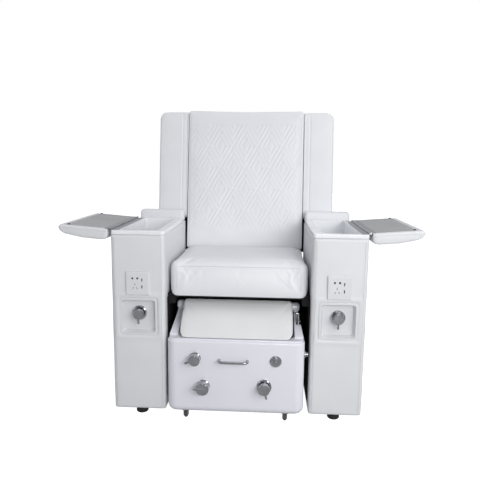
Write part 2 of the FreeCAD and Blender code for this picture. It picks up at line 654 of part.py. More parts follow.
def back_frame():
    """Two flat ears on the recline pins, welded to uprights, three cross bars and a black closing plate."""
    thick = "(shell_plane - frame_plane - 0.6)"
    pieces = []
    for side, sign in SIDES:
        ear = padded("back_ear_" + side, "YZ_Plane", ((-13, -12), (14, -15), (33, 8), (34.4, 110), (20.4, 110),
                                                     (20.4, 18), (-11, 13)), 6)
        soften(ear, 8, lambda edge, whole: runs_along(edge, X_AXIS) and edge.BoundBox.Center.z < 20
               and edge.BoundBox.Center.y < 20)
        pieces.append(put(ear, "%d*241.5" % sign, 0, 0))
        pieces.append(box("back_upright_" + side, "%d*226 - 12.5" % sign, "frame_plane + 0.3", 40, 25, thick,
                          "wing_high - 110"))
    for index, up in enumerate((45, 250, 500)):
        pieces.append(box("back_bar_%d" % index, -226, "frame_plane + 0.3", up, 452, thick, 25))
    pieces.append(box("back_closing_plate", -280, "shell_plane - 4", 10, 560, 3.7, 150))
    holes = rod("back_ear_holes", "pivot_pin_radius + running", 540, -270, 0, 0, Y_AXIS, 90)
    frame = cut("back_frame", fuse("back_frame_blank", pieces), holes)
    finish(back_place(frame), "back_frame")


# ---------------------------------------------------------------- tub

FACE = "arm_front + tub_front"


def tub_casing():
    """Glossy outer casing, rounded all round and open above."""
    outer = slab("tub_outer", "tub_width", "tub_depth", "tub_high - tub_low")
    soften(outer, 34, upright)
    soften(outer, 27, bottom_ring)
    soften(outer, 7, top_ring)
    put(outer, "tub_shift", FACE + " + tub_depth/2", "tub_low")
    inner = slab("tub_inner", "tub_width - 2*tub_wall", "tub_depth - 2*tub_wall", "tub_high")
    soften(inner, 25, upright)
    soften(inner, 18, bottom_ring)
    put(inner, "tub_shift", FACE + " + tub_depth/2", "tub_low + tub_wall")
    holes = [rod("tub_port_" + name, "stem_radius + 10.2", 40, across, FACE + " + 20", up, X_AXIS, 90)
             for name, across, up in VALVE_PLACES]
    holes.append(rod("tub_port_air", 9.2, 40, AIR_X, FACE + " + 20", AIR_Z, X_AXIS, 90))
    holes.append(rod("tub_port_hose", 9.2, 40, "tub_shift + tub_width/2 - 20", *HOSE_PLACE, Y_AXIS, 90))
    finish(cut("tub_casing", outer, fuse("tub_casing_space", [inner] + holes)), "tub_casing")


def tub_bowl():
    """Foot bowl hanging in the casing by a flange."""
    flange = slab("bowl_flange", "tub_width - 2*tub_wall - 2", "tub_depth - 2*tub_wall - 2", 8)
    soften(flange, 26, upright)
    put(flange, "tub_shift", FACE + " + tub_depth/2", "tub_high - 8")
    shells = []
    for name, grow, low, above in (("bowl_outer", "bowl_wall", "tub_low + 64", 0),
                                   ("bowl_inner", "0", "tub_low + 64 + bowl_wall", 20)):
        body = slab(name, "424 + 2*%s" % grow, "292 + 2*%s" % grow, "tub_high - (%s) + %d" % (low, above))
        soften(body, "34 + %s" % grow, upright)
        soften(body, "24 + %s" % grow, bottom_ring)
        shells.append(put(body, "tub_shift", FACE + " + tub_depth/2 - 4", low))
    drain = rod("bowl_drain_hole", 24, 60, "tub_shift", FACE + " + tub_depth/2", "tub_low + 40")
    jet = rod("bowl_jet_hole", 30, 40, "tub_shift", FACE + " + tub_depth/2 + 125", "tub_low + 150", X_AXIS, -90)
    whole = cut("bowl_open", fuse("bowl_solid", [flange, shells[0]]), shells[1])
    finish(cut("tub_bowl", whole, fuse("bowl_holes", [drain, jet])), "tub_bowl")
    plug = turned("tub_drain", ((0, -50), (16, -50), (16, -14), (23.8, -14), (23.8, 0), (27, 0), (24, 3),
                                (6, 3),
                                (4, 6), (0, 6)))
    finish(put(plug, "tub_shift", FACE + " + tub_depth/2", "tub_low + 64 + bowl_wall"), "tub_drain")
    cover = turned("tub_jet_cover", ((0, -2), (29.8, -2), (29.8, 5), (36, 5), (36, 8), (30, 13), (0, 15)))
    put(cover, "tub_shift", FACE + " + tub_depth/2 + 142 + bowl_wall", "tub_low + 150", X_AXIS, 90)
    finish(cover, "tub_jet_cover")
    motor = turned("tub_jet_motor", ((0, 0), (28, 0), (28, 10), (20, 14), (20, 20), (0, 20)))
    finish(put(motor, "tub_shift", FACE + " + tub_depth/2 + 144.2 + bowl_wall", "tub_low + 150", X_AXIS, -90),
           "tub_jet_motor")


def tub_hood():
    """Moulded rim with two sloping cheeks that carry the footrest bar."""
    ring = slab("hood_ring", "hood_width", "tub_depth - 14", "hood_thick")
    soften(ring, 30, upright)
    soften(ring, 4, top_ring)
    put(ring, "tub_shift", FACE + " + tub_depth/2 - 1", "tub_high + 0.2")
    mouth = slab("hood_mouth", 420, 288, 60)
    soften(mouth, 30, upright)
    put(mouth, "tub_shift", FACE + " + tub_depth/2 - 4", "tub_high - 20")
    pieces = [cut("hood_rim", ring, mouth)]
    slope = ((4, 310), (10, 320), (46, 338), (90, 361), (114, 382), (128, 402), (146, 392), (162, 360),
             (176, 310))
    for side, sign in SIDES:
        cheek = padded("hood_cheek_" + side, "YZ_Plane", slope, "hood_width/2 - rest_half - 6")
        put(cheek, "tub_shift + %d*(hood_width/2 + rest_half + 6)/2" % sign, "arm_front", 0)
        waste = (("hood_width/2", 318), ("hood_width/2 + 30", 318), ("hood_width/2 + 30", 430),
                 ("hood_width/2 - 25", 430))
        lean = padded("hood_lean_" + side, "XZ_Plane",
                      [("%d*(%s)" % (sign, across), up) for across, up in waste], 400)
        put(lean, "tub_shift", "arm_front + 90", 0)
        pieces.append(cut("hood_side_" + side, cheek, lean))
    bar = turned("hood_bar", ((0, "-bar_half"), ("bar_radius - 8", "-bar_half"),
                              ("bar_radius - 2.5", "3 - bar_half"), ("bar_radius", "9 - bar_half"),
                              ("bar_radius", "bar_half - 9"),
                              ("bar_radius - 2.5", "bar_half - 3"), ("bar_radius - 8", "bar_half"),
                              (0, "bar_half")))
    pieces.append(put(bar, "tub_shift", "arm_front + bar_back", "bar_up", Y_AXIS, 90))
    spot_face = rod("hood_spot_face", 9.5, 40, SPOUT_X, "arm_front + 66", 349.4)
    finish(cut("tub_hood", fuse("hood_whole", pieces), spot_face), "tub_hood")


SPOUT_X = "tub_shift + hood_width/2 - 15.7"
VALVE_PLACES = (("upper_left", "-150", "245"), ("lower_left", "-120", "140"), ("lower_right", "101", "143"))
AIR_X, AIR_Z = "141", "240"
HOSE_PLACE = ("arm_front + 4", 256)


def tub_controls():
    """Three mixing valves with knobs, the air button, the pull handle, spout and hose fitting."""
    valves = []
    for (name, across, up), ring, neck in zip(VALVE_PLACES, ("21", "23", "27"), ("17", "19", "17")):
        valve = turned("tub_valve_" + name, valve_profile(ring, neck, 26))
        valves.append(put(valve, across, FACE, up, X_AXIS, 90))
    finish(group("tub_valves", valves), "tub_valves")
    caps = (("20.5", 34, 20, 70, False), ("23", 38, 33, 90, True), ("20.5", 36, 20, -14, False))
    for (name, across, up), (cap, reach, pin, lean, over_face) in zip(VALVE_PLACES, caps):
        knob("tub_knob_" + name, cap, reach, pin, lean, across, FACE, up, over_face)

    bezel = turned("tub_air_bezel", ((9, -22), (9, 0), (21, 0), (21, 3), (18, 6), (14.3, 6), (14.3, 1),
                                    (5.3, 1), (5.3, -22)))
    finish(put(bezel, AIR_X, FACE, AIR_Z, X_AXIS, 90), "tub_air_bezel")
    button = turned("tub_air_button", ((0, -16), (5.2, -16), (5.2, 5.4), (14, 5.4), (14, 8), (10, 8), (9, 7),
                                      (6, 7), (5, 9), (0, 9.5)))
    finish(put(button, AIR_X, FACE, AIR_Z, X_AXIS, 90), "tub_air_button")

    finish(bent_bar("tub_handle", ((-62, 0.0), (-62, -25), (40, -25), (40, 0.0)), 5, 13), "tub_handle")
    tub_spout()
    fitting = turned("tub_hose_fitting", ((0, -4), (9, -4), (9, 0), (14, 0), (14, 4), (9, 6), (9, 13), (5, 13),
                                         (5, 2), (0, 2)))
    finish(put(fitting, "tub_shift + tub_width/2", *HOSE_PLACE, Y_AXIS, 90), "tub_hose_fitting")


def bent_bar(name, corners, radius, bend):
    """Round bar along straight runs with rounded corners, in the horizontal plane of the handle."""
    points = [Vector(x, y, 0) for x, y in corners]
    edges = []
    start = points[0]
    for before, corner, after in zip(points, points[1:], points[2:]):
        arrive = (corner - before).normalize()
        leave = (after - corner).normalize()
        first = corner - arrive * bend
        last = corner + leave * bend
        centre = corner - arrive * bend + leave * bend
        middle = centre + (corner - centre).normalize() * bend
        edges.append(Part.makeLine(start, first))
        edges.append(Part.Arc(first, middle, last).toShape())
        start = last
    edges.append(Part.makeLine(start, points[-1]))
    section = Part.Wire(Part.makeCircle(radius, points[0], points[1] - points[0]))
    solid = Part.Wire(edges).makePipeShell([section], True, False)
    bar = doc.addObject("Part::Feature", name)
    bar.Shape = solid
    return put(bar, 0, FACE, "239")


def tub_spout():
    """Small swan-neck spout on the right cheek, reaching in over the bowl."""
    radius, rise, reach = 4.5, 30, 7
    base = turned("spout_base", ((0, 0), (8.7, 0), (8.7, 3), (6.5, 6), (0, 6)))
    riser = rod("spout_riser", radius, rise, 0, 0, 4)
    arch = doc.addObject("Part::Torus", "spout_arch")
    arch.Radius1, arch.Radius2, arch.Angle3 = reach, radius, 180
    put(arch, -reach, 0, rise + 4, X_AXIS, 90)
    tip = rod("spout_tip", radius, 9, -2 * reach, 0, rise - 5)
    lever = turned("spout_lever", ((0, 0), (3, 0), (2.2, 14), (0, 15)))
    put(lever, 0, 3, rise - 14, X_AXIS, -70)
    finish(put(fuse("tub_spout", [base, riser, arch, tip, lever]), SPOUT_X, "arm_front + 66", 349.4),
           "tub_spout")


def footrest():
    """Board hinged on the bar and the padded rest on it."""
    half = "rest_half"
    pad = padded("footrest_pad_body", "YZ_Plane", ((-28, 314.8), (30, 374), (100, 431), (112, 422), (101, 389),
                                                  (6, 314.8)), "2*" + half)
    soften(pad, 3, side_ring)
    finish(put(pad, "tub_shift", "arm_front", 0), "footrest_pad")
    board = padded("footrest_board_body", "YZ_Plane",
                   ((20.6, 325.3), (101, 388.6), (106.6, 381.5), (26.2, 318.2)), "2*%s - 20" % half)
    put(board, "tub_shift", "arm_front", 0)
    pieces = [board]
    for side, sign in SIDES:
        strap = padded("footrest_strap_" + side, "YZ_Plane",
                       ((82, 362.2), (106.6, 381.5), (112, 384), (117, 376), (86, 357.5)), 24)
        pieces.append(put(strap, "tub_shift + %d*150" % sign, "arm_front", 0))
        pieces.append(rod("footrest_ring_" + side, "bar_radius + 4", 24, "tub_shift + %d*150 - 12" % sign,
                          "arm_front + bar_back", "bar_up", Y_AXIS, 90))
    bore = rod("footrest_bore", "bar_radius + running", 480, "tub_shift - 240", "arm_front + bar_back",
               "bar_up", Y_AXIS, 90)
    finish(cut("footrest_board", fuse("footrest_blank", pieces), bore), "footrest_board")


def wheels():
    """Four fixed casters under the tub, with a wheel pair on each axle line."""
    forks = []
    for end, back in (("front", "32"), ("rear", "tub_depth - 40")):
        pair = []
        for side, sign in SIDES:
            name = "caster_%s_%s" % (end, side)
            centre = "tub_shift + %d*wheel_half" % sign
            for face, way in (("inner", -1), ("outer", 1)):
                start = "%s + %d*(wheel_thick/2 + 1.7) - 1.25" % (centre, way)
                cheek = box("%s_%s" % (name, face), start, FACE + " + %s - 9" % back, "wheel_radius - 6",
                            2.5, 18, "tub_low - wheel_radius + 6")
                forks.append(cheek)
            forks.append(box(name + "_top", "%s - wheel_thick/2 - 6" % centre, FACE + " + %s - 13" % back,
                             "tub_low - 1.4", "wheel_thick + 12", 26, 1.4))
            forks.append(rod(name + "_axle", "axle_radius", "wheel_thick + 6",
                             "%s - wheel_thick/2 - 3" % centre, FACE + " + " + back,
                             "wheel_radius", Y_AXIS, 90))
            wheel = turned("wheel_%s_%s" % (end, side),
                           (("axle_radius + running", "-wheel_thick/2"), ("wheel_radius - 3", "-wheel_thick/2"),
                            ("wheel_radius", "-wheel_thick/2 + 3"), ("wheel_radius", "wheel_thick/2 - 3"),
                            ("wheel_radius - 3", "wheel_thick/2"), ("axle_radius + running", "wheel_thick/2")))
            pair.append(put(wheel, centre, FACE + " + " + back, "wheel_radius", Y_AXIS, 90))
        finish(group("tub_wheels_" + end, pair), "tub_wheels_" + end)
    finish(fuse("tub_casters", forks), "tub_casters")


def socket_inserts():
    """Dark contact blocks behind the holes of both socket plates."""
    blocks = []
    for side, sign in SIDES:
        block = padded("socket_block_" + side, "XZ_Plane", oblong(30, 30), 1.2)
        blocks.append(put(block, "%d*%s" % (sign, ARM_X), "arm_front - 0.9", "socket_up"))
    finish(group("socket_inserts", blocks), "socket_inserts")


# ---------------------------------------------------------------- the chair

def build():
    for side, sign in SIDES:
        arm_shell(side, sign)
        arm_bin(side, sign)
        arm_rear_pad(side, sign)
        socket_plate(side, sign)
        control_dish(side, sign)
        arm_controls(side, sign)
        fixed_leaf(side, sign)
        moving_leaf(side, sign)
        lid(side, sign)
    socket_inserts()
    arm_feet()
    seat()
    recline_brackets()
    backrest()
    tub_casing()
    tub_bowl()
    tub_hood()
    tub_controls()
    footrest()
    wheels()


def check():
    """Stops on any failed object or bad shape, and reports the chair's box."""
    doc.recompute()
    failed = [obj.Name for obj in doc.Objects if "Invalid" in obj.State or "Error" in obj.State]
    if failed:
        raise RuntimeError("failed: %s" % failed)
    whole = FreeCAD.BoundBox()
    for obj in finished:
        if obj.Shape.isNull() or not obj.Shape.isValid() or not obj.Shape.Solids:
            raise RuntimeError("bad shape: " + obj.Label)
        whole.add(obj.Shape.BoundBox)
        print("%-24s solids %d  volume %.0f" % (obj.Label, len(obj.Shape.Solids), obj.Shape.Volume))
    print("pieces %d" % len(finished))
    print("box low  %.2f %.2f %.2f" % (whole.XMin, whole.YMin, whole.ZMin))
    print("box high %.2f %.2f %.2f" % (whole.XMax, whole.YMax, whole.ZMax))


def export():
    os.makedirs("parts", exist_ok=True)
    for obj in finished:
        obj.Shape.exportStep("parts/%s.step" % obj.Label)


build()
check()
export()
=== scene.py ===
import json
import math

import bmesh
import bpy
import numpy as np
from mathutils import Matrix, Vector
from mathutils.bvhtree import BVHTree


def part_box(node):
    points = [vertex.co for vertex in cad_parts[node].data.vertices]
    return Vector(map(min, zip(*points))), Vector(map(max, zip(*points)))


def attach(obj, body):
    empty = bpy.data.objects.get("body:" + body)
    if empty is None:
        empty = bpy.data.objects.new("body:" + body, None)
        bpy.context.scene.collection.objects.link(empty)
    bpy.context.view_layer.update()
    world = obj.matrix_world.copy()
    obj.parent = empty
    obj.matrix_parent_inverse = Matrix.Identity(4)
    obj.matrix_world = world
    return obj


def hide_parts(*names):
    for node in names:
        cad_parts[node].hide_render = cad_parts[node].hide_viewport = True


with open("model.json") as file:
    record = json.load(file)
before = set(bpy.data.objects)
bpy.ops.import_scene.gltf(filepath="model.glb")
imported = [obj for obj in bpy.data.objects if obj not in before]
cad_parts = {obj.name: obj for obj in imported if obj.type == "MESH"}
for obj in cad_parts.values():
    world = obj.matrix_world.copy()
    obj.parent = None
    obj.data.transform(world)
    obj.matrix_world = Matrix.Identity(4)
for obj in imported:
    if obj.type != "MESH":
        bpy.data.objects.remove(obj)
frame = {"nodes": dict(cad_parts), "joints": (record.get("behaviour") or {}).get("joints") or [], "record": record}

MM = 0.001
NODES = frame["nodes"]
JOINTS = {joint["name"]: joint for joint in frame["joints"]}
SIDES = (("left", -1), ("right", 1))
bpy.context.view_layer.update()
ARM_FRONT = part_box("arm_shell_left")[0].y
BACK_TILT = math.radians(9.05)
LID_TILT = math.radians(4.5)

BACK_FRAME = (Matrix.Translation(Vector(JOINTS["back_recline"]["pos_m"]))
              @ Matrix.Rotation(-BACK_TILT, 4, "X"))
INTO_BACK = BACK_FRAME.to_3x3() @ Vector((0, 1, 0))


def lid_frame(side, sign):
    """Frame on a lid's hinge axis, lying in the tilted lid."""
    axis_at = Vector(JOINTS["lid_%s_hinge" % side]["pos_m"])
    return Matrix.Translation((axis_at.x, 0, axis_at.z)) @ Matrix.Rotation(-sign * LID_TILT, 4, "Y")


# ---------------------------------------------------------------- camera, floor and light

def make_camera():
    """Eye level with the backrest, a little right of centre and looking slightly down."""
    yaw, pitch, roll = -0.052, 0.154, 0.011
    forward = Vector((math.sin(yaw) * math.cos(pitch), math.cos(yaw) * math.cos(pitch),
                      -math.sin(pitch)))
    level = Vector((math.cos(yaw), -math.sin(yaw), 0))
    upward = level.cross(forward)
    right = level * math.cos(roll) + upward * math.sin(roll)
    up = upward * math.cos(roll) - level * math.sin(roll)
    data = bpy.data.cameras.new("camera")
    data.lens = 38.0
    data.sensor_width = 36.0
    camera = bpy.data.objects.new("camera", data)
    place = Matrix((right, up, -forward)).transposed().to_4x4()
    place.translation = Vector((0.0982, ARM_FRONT - 1.7678, 0.9482))
    camera.matrix_world = place
    bpy.context.scene.collection.objects.link(camera)
    bpy.context.scene.camera = camera


FLOOR_HALF = 14


def make_floor():
    bm = bmesh.new()
    bmesh.ops.create_grid(bm, x_segments=2, y_segments=2, size=FLOOR_HALF)
    floor = new_object("studio_floor", bm)
    floor.data.materials.append(floor_material())


def area_light(name, place, target, size, power):
    data = bpy.data.lights.new(name, "AREA")
    data.shape = "RECTANGLE"
    data.size, data.size_y = size
    data.energy = power
    lamp = bpy.data.objects.new(name, data)
    lamp.location = place
    lamp.rotation_euler = (Vector(target) - Vector(place)).to_track_quat("-Z", "Y").to_euler()
    bpy.context.scene.collection.objects.link(lamp)


def make_light():
    """Broad soft boxes in front and above, in a pale surround that darkens behind the camera."""
    area_light("front_box", (2.2, -2.8, 1.9), (0, 0, 0.75), (2.1, 1.8), 51)
    area_light("level_box", (0.7, -2.7, 1.05), (0, 0, 0.65), (1.4, 0.9), 21)
    area_light("fill_box", (-2.8, -2.2, 1.8), (0, 0, 1.0), (1.4, 1.4), 4)
    area_light("top_box", (0.3, -0.6, 3.2), (0, 0, 0), (2.4, 2.0), 11)
    world = bpy.data.worlds.new("studio")
    bpy.context.scene.world = world
    world.use_nodes = True
    tree = world.node_tree
    tree.nodes.clear()
    out = tree.nodes.new("ShaderNodeOutputWorld")
    surround = tree.nodes.new("ShaderNodeBackground")
    backdrop = tree.nodes.new("ShaderNodeBackground")
    backdrop.inputs["Color"].default_value = (1, 1, 1, 1)
    backdrop.inputs["Strength"].default_value = 1.0
    path = tree.nodes.new("ShaderNodeLightPath")
    mix = tree.nodes.new("ShaderNodeMixShader")
    coords = tree.nodes.new("ShaderNodeTexCoord")
    split = tree.nodes.new("ShaderNodeSeparateXYZ")
    ramp = tree.nodes.new("ShaderNodeValToRGB")
    shift = tree.nodes.new("ShaderNodeMapRange")
    shift.inputs["From Min"].default_value = -1
    shift.inputs["From Max"].default_value = 1
    ramp.color_ramp.elements[0].color = (0.23, 0.235, 0.245, 1)
    ramp.color_ramp.elements[1].color = (0.56, 0.565, 0.58, 1)
    ramp.color_ramp.elements[1].position = 0.75
    tree.links.new(coords.outputs["Generated"], split.inputs[0])
    tree.links.new(split.outputs["Y"], shift.inputs["Value"])
    tree.links.new(shift.outputs[0], ramp.inputs[0])
    tree.links.new(ramp.outputs["Color"], surround.inputs["Color"])
    tree.links.new(path.outputs["Is Camera Ray"], mix.inputs[0])
    tree.links.new(surround.outputs[0], mix.inputs[1])
    tree.links.new(backdrop.outputs[0], mix.inputs[2])
    tree.links.new(mix.outputs[0], out.inputs["Surface"])
    bpy.context.scene.view_settings.view_transform = "Standard"


# ---------------------------------------------------------------- materials

class Shader:
    """A node material whose textures are measured in metres in the row frame."""

    def __init__(self, name, roughness=0.5, metallic=0.0, coat=0.0, coat_roughness=0.1,
                 sheen=0.0, ior=1.5):
        self.material = bpy.data.materials.new(name)
        self.material.use_nodes = True
        self.tree = self.material.node_tree
        self.main = self.tree.nodes["Principled BSDF"]
        self.main.inputs["Metallic"].default_value = metallic
        self.main.inputs["Roughness"].default_value = roughness
        self.main.inputs["Coat Weight"].default_value = coat
        self.main.inputs["Coat Roughness"].default_value = coat_roughness
        self.main.inputs["Sheen Weight"].default_value = sheen
        self.main.inputs["IOR"].default_value = ior
        self.place = self.tree.nodes.new("ShaderNodeTexCoord").outputs["Object"]
        self.normal = None

    def link(self, start, end):
        self.tree.links.new(start, end)

    def stretched(self, scale):
        """Coordinates scaled per axis, for grain that runs one way."""
        mapping = self.tree.nodes.new("ShaderNodeMapping")
        mapping.inputs["Scale"].default_value = scale
        self.link(self.place, mapping.inputs["Vector"])
        return mapping.outputs[0]

    def noise(self, scale, detail=3, coords=None):
        node = self.tree.nodes.new("ShaderNodeTexNoise")
        node.inputs["Scale"].default_value = scale
        node.inputs["Detail"].default_value = detail
        self.link(coords or self.place, node.inputs["Vector"])
        return node.outputs["Fac"]

    def cells(self, scale):
        """Distance to the edge of a random cell, for pebbled or spark-eroded grain."""
        node = self.tree.nodes.new("ShaderNodeTexVoronoi")
        node.feature = "DISTANCE_TO_EDGE"
        node.inputs["Scale"].default_value = scale
        self.link(self.place, node.inputs["Vector"])
        return node.outputs["Distance"]

    def ramp(self, value, stops):
        """Colour ramp; stops are (position, colour) pairs."""
        node = self.tree.nodes.new("ShaderNodeValToRGB")
        elements = node.color_ramp.elements
        while len(elements) < len(stops):
            elements.new(0.5)
        for element, (position, colour) in zip(elements, stops):
            element.position = position
            element.color = (*colour, 1)
        self.link(value, node.inputs[0])
        return node.outputs["Color"]

    def span(self, value, low, high):
        """Maps a noise texture, most of it between 0.3 and 0.7, onto a range."""
        node = self.tree.nodes.new("ShaderNodeMapRange")
        node.inputs["From Min"].default_value = 0.3
        node.inputs["From Max"].default_value = 0.7
        node.inputs["To Min"].default_value = low
        node.inputs["To Max"].default_value = high
        self.link(value, node.inputs["Value"])
        return node.outputs[0]

    def colour(self, value, stops):
        self.link(self.ramp(value, stops), self.main.inputs["Base Color"])

    def rough(self, value, low, high):
        self.link(self.span(value, low, high), self.main.inputs["Roughness"])

    def bump(self, value, strength, distance):
        node = self.tree.nodes.new("ShaderNodeBump")
        node.inputs["Strength"].default_value = strength
        node.inputs["Distance"].default_value = distance
        self.link(value, node.inputs["Height"])
        if self.normal is not None:
            self.link(self.normal, node.inputs["Normal"])
        self.normal = node.outputs["Normal"]
        self.link(self.normal, self.main.inputs["Normal"])


def leather(name, light, shade):
    """Coated upholstery leather: pebbled grain, faint creases and slow variation of tone."""
    skin = Shader(name, coat=0.12, coat_roughness=0.35, sheen=0.05)
    skin.colour(skin.noise(5.5, 4), ((0.30, shade), (0.70, light)))
    skin.rough(skin.noise(60, 4), 0.40, 0.52)
    skin.bump(skin.noise(26, 5), 0.22, 1.2 * MM)
    skin.bump(skin.cells(520), 0.35, 0.25 * MM)
    return skin.material


def moulded(name, light, shade, roughness, orange_peel=0.06):
    """Glossy moulded plastic or gel coat with a slight ripple."""
    shell = Shader(name, coat=0.5, coat_roughness=0.06)
    shell.colour(shell.noise(3.2, 3), ((0.30, shade), (0.70, light)))
    shell.rough(shell.noise(24, 4), roughness - 0.04, roughness + 0.05)
    shell.bump(shell.noise(34, 2), orange_peel, 1.0 * MM)
    shell.bump(shell.noise(420, 2), 0.04, 0.12 * MM)
    return shell.material


def textured_plastic(name, light, shade, roughness, grain=900, ior=1.5):
    """Matt plastic with a fine spark-eroded grain."""
    body = Shader(name, ior=ior)
    body.colour(body.noise(9, 4), ((0.30, shade), (0.70, light)))
    body.rough(body.noise(45, 4), roughness - 0.06, roughness + 0.08)
    body.bump(body.cells(grain), 0.25, 0.15 * MM)
    return body.material


def polished_metal(name, light, shade, roughness):
    """Chrome plate with a trace of haze and fine wiping marks."""
    plate = Shader(name, metallic=1.0)
    plate.colour(plate.noise(40, 3), ((0.35, shade), (0.65, light)))
    plate.rough(plate.noise(140, 5), roughness, roughness + 0.07)
    plate.bump(plate.noise(90, 3), 0.05, 0.2 * MM)
    return plate.material


def brushed_metal(name, light, shade, scale):
    """Steel with drawn lines along the axis of the smallest scale."""
    steel = Shader(name, metallic=1.0)
    grain = steel.stretched(scale)
    steel.colour(steel.noise(1.0, 4, grain), ((0.30, shade), (0.70, light)))
    steel.rough(steel.noise(1.0, 3, grain), 0.26, 0.42)
    steel.bump(steel.noise(1.0, 2, grain), 0.12, 0.1 * MM)
    return steel.material


def rubber(name, light, shade):
    tread = Shader(name)
    tread.colour(tread.noise(30, 5), ((0.30, shade), (0.70, light)))
    tread.rough(tread.noise(70, 4), 0.62, 0.80)
    tread.bump(tread.cells(700), 0.3, 0.25 * MM)
    return tread.material


def floor_material():
    """Pale studio floor that glows to the eye more than it lights the chair."""
    paint = Shader("studio_floor", roughness=0.9)
    paint.main.inputs["Emission Color"].default_value = (1, 1, 1, 1)
    seen = paint.tree.nodes.new("ShaderNodeLightPath").outputs["Is Camera Ray"]
    glow = paint.tree.nodes.new("ShaderNodeMapRange")
    glow.inputs["To Min"].default_value = 0.10
    glow.inputs["To Max"].default_value = 1.0
    paint.link(seen, glow.inputs["Value"])
    paint.link(glow.outputs[0], paint.main.inputs["Emission Strength"])
    paint.main.inputs["Specular IOR Level"].default_value = 0.0
    paint.colour(paint.noise(0.8, 2), ((0.30, (0.38, 0.38, 0.38)), (0.70, (0.40, 0.40, 0.40))))
    return paint.material


def make_materials():
    return {
        "leather_white": leather("leather_white", (0.80, 0.81, 0.835), (0.765, 0.775, 0.805)),
        # leather_arm is leather_white in a darker tone: painted shade on the arm fronts and lids, the same white
        # leather.
        "leather_arm": leather("leather_arm", (0.735, 0.745, 0.765), (0.705, 0.715, 0.74)),
        "leather_footrest": leather("leather_footrest", (0.75, 0.76, 0.77), (0.71, 0.72, 0.73)),
        "gloss_white": moulded("gloss_white", (0.88, 0.89, 0.91), (0.85, 0.86, 0.89), 0.20),
        "tub_white": moulded("tub_white", (0.795, 0.795, 0.86), (0.77, 0.77, 0.835), 0.13, 0.10),
        "socket_white": moulded("socket_white", (0.73, 0.74, 0.76), (0.70, 0.71, 0.73), 0.34),
        "tray_grey": textured_plastic("tray_grey", (0.46, 0.46, 0.47), (0.42, 0.42, 0.43), 0.48),
        "dark_plastic": textured_plastic("dark_plastic", (0.035, 0.035, 0.04), (0.02, 0.02, 0.024),
                                         0.5),
        "chrome": polished_metal("chrome", (0.46, 0.47, 0.49), (0.38, 0.39, 0.41), 0.09),
        "hinge_grey": polished_metal("hinge_grey", (0.46, 0.46, 0.48), (0.38, 0.38, 0.40), 0.34),
        "steel": brushed_metal("steel", (0.62, 0.62, 0.64), (0.46, 0.46, 0.48), (900, 12, 900)),
        # black_steel is the back frame's own black paint; on the plate across the lower back it is a dark sheet
        # standing in for the shade in the gap behind the arms.
        "black_steel": textured_plastic("black_steel", (0.014, 0.014, 0.016), (0.009, 0.009, 0.010),
                                        0.55, 1400, 1.25),
        "black_board": textured_plastic("black_board", (0.012, 0.012, 0.014), (0.006, 0.006, 0.007),
                                        0.6, 500, 1.25),
        "rubber_black": rubber("rubber_black", (0.016, 0.016, 0.017), (0.010, 0.010, 0.011)),
        "wheel_rubber": rubber("wheel_rubber", (0.085, 0.085, 0.090), (0.055, 0.055, 0.060)),
        "thread": textured_plastic("thread", (0.70, 0.71, 0.74), (0.60, 0.61, 0.64), 0.6, 2000),
        # seam: a real welt tube, but its darker leather tone is painted shade along the seam groove.
        "seam": leather("seam", (0.60, 0.61, 0.64), (0.54, 0.55, 0.58)),
    }


# ---------------------------------------------------------------- meshes

def new_object(name, bm):
    mesh = bpy.data.meshes.new(name)
    bm.to_mesh(mesh)
    bm.free()
    obj = bpy.data.objects.new(name, mesh)
    bpy.context.scene.collection.objects.link(obj)
    return obj


def smooth(obj):
    for polygon in obj.data.polygons:
        polygon.use_smooth = True


def points_of(obj):
    flat = np.empty(len(obj.data.vertices) * 3, np.float32)
    obj.data.vertices.foreach_get("co", flat)
    return flat.reshape(-1, 3).astype(float)


def set_points(obj, points):
    obj.data.vertices.foreach_set("co", points.astype(np.float32).ravel())
    obj.data.update()


def normals_of(obj):
    flat = np.empty(len(obj.data.vertices) * 3, np.float32)
    obj.data.vertices.foreach_get("normal", flat)
    return flat.reshape(-1, 3).astype(float)


def apply_modifiers(obj):
    """Replaces the mesh by what the modifiers make of it."""
    graph = bpy.context.evaluated_depsgraph_get()
    made = bpy.data.meshes.new_from_object(obj.evaluated_get(graph))
    old = obj.data
    obj.modifiers.clear()
    obj.data = made
    bpy.data.meshes.remove(old)


def remeshed(node, name, place, voxel, shrink):
    """Copy of a CAD solid as even quads in its own frame, drawn in by shrink on every side."""
    obj = NODES[node].copy()
    obj.data = NODES[node].data.copy()
    for key in list(obj.keys()):
        del obj[key]
    obj.parent = None
    obj.hide_render = False
    obj.name = name
    obj.data.materials.clear()
    bpy.context.scene.collection.objects.link(obj)
    obj.data.transform(place.inverted())
    remesh = obj.modifiers.new("remesh", "REMESH")
    remesh.mode = "VOXEL"
    remesh.voxel_size = voxel
    apply_modifiers(obj)
    points = points_of(obj)
    low, high = points.min(0), points.max(0)
    middle, half = (low + high) / 2, (high - low) / 2
    set_points(obj, middle + (points - middle) * (half - shrink) / half)
    return obj


CLOTH_FRAMES = 20
CLOTH_STIFFNESS = 15.0
HOLD_LEVELS = 10


